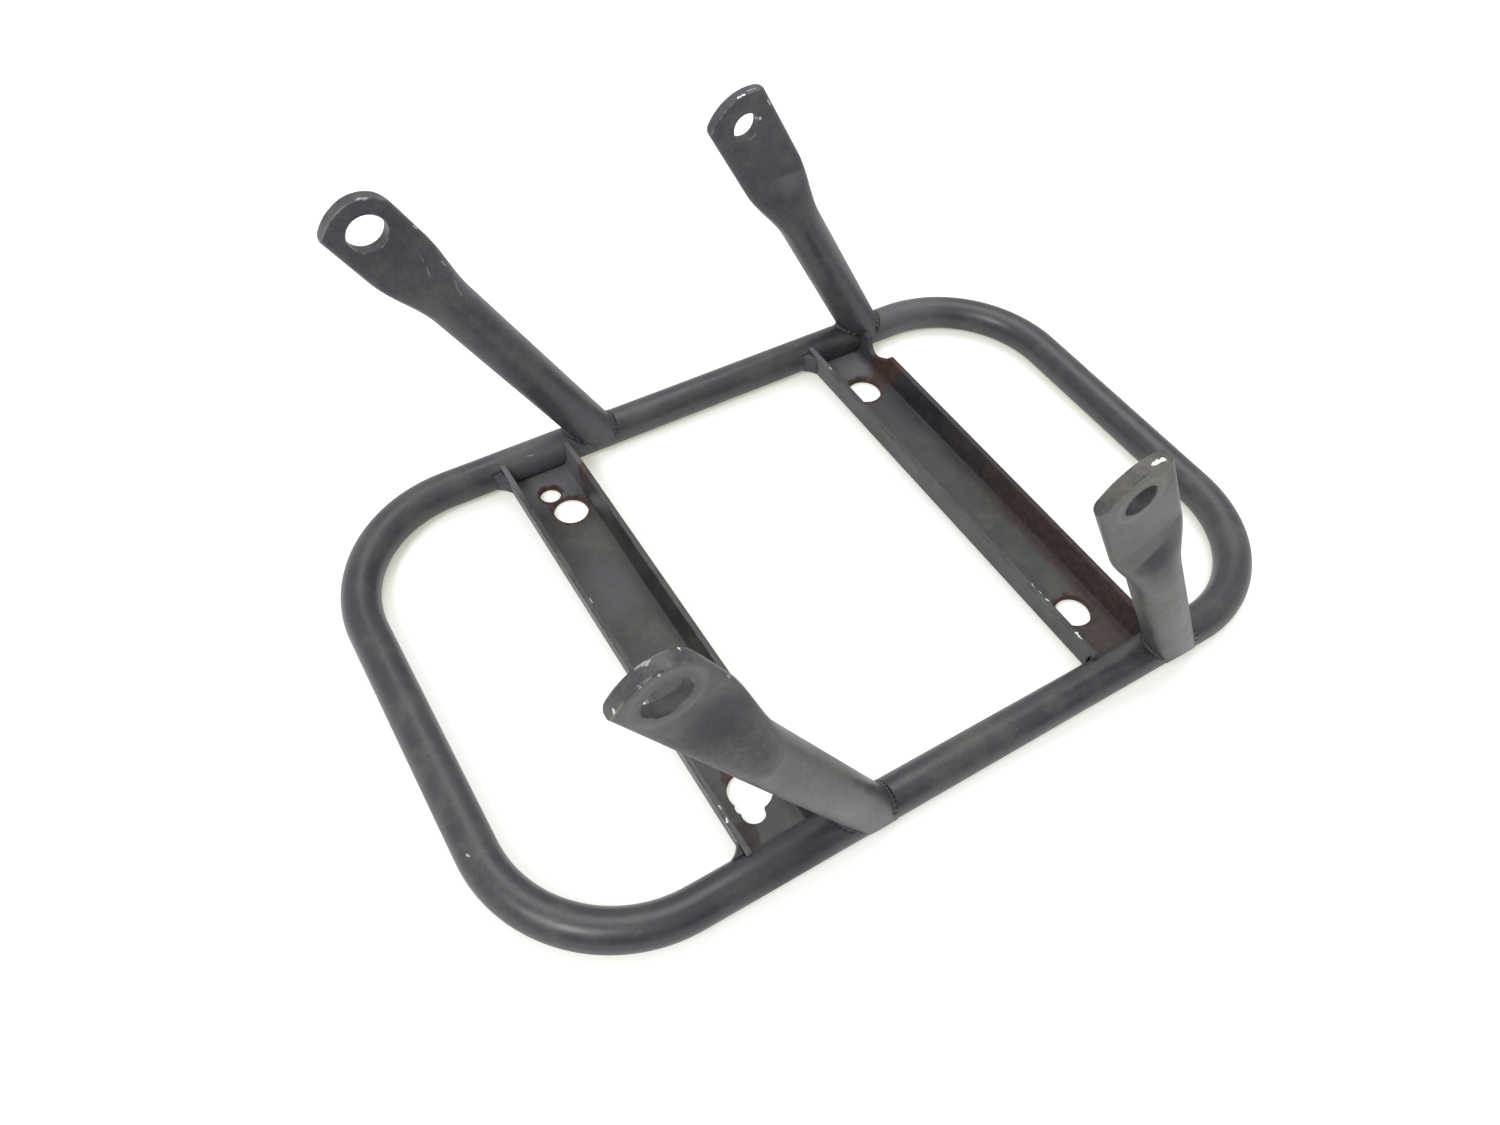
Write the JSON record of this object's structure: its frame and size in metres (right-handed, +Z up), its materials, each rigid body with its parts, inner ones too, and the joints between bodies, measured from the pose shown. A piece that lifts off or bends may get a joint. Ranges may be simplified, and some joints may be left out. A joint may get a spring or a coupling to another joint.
{
  "type": "motorcycle luggage rack",
  "caption": "Tubular luggage rack lying upside down: a bent hoop with folded cross channels and leaning tube legs flattened into drilled tabs",
  "frame": {"origin": "middle of the hoop on the surface that it lies on, under the middle of the bounding box", "axes": "X along the long straights, away from the way the legs lean; Y across the hoop; Z up, from the hoop to the leg ends, which point down when the rack is in use"},
  "size_m": [0.369, 0.242, 0.1622],
  "materials": {
    "black_paint": "worn satin black paint over steel, with chips at edges and holes",
    "rusted_paint": "worn satin black paint with dark brown rust on flanges and round the holes"
  },
  "bodies": {
    "root": {"hoop_tube": "black_paint", "left_channel": "black_paint", "right_channel": "rusted_paint", "back_left_leg": "black_paint", "back_right_leg": "black_paint", "front_left_leg": "black_paint", "front_right_leg": "black_paint", "back_left_leg_heel_weld": "black_paint", "back_left_leg_toe_weld": "black_paint", "back_right_leg_heel_weld": "black_paint", "back_right_leg_toe_weld": "black_paint", "front_left_leg_heel_weld": "black_paint", "front_left_leg_toe_weld": "black_paint", "front_right_leg_heel_weld": "black_paint", "front_right_leg_toe_weld": "black_paint", "left_channel_back_weld": "black_paint", "left_channel_front_weld": "black_paint", "right_channel_back_weld": "black_paint"}
  },
  "joints": []
}
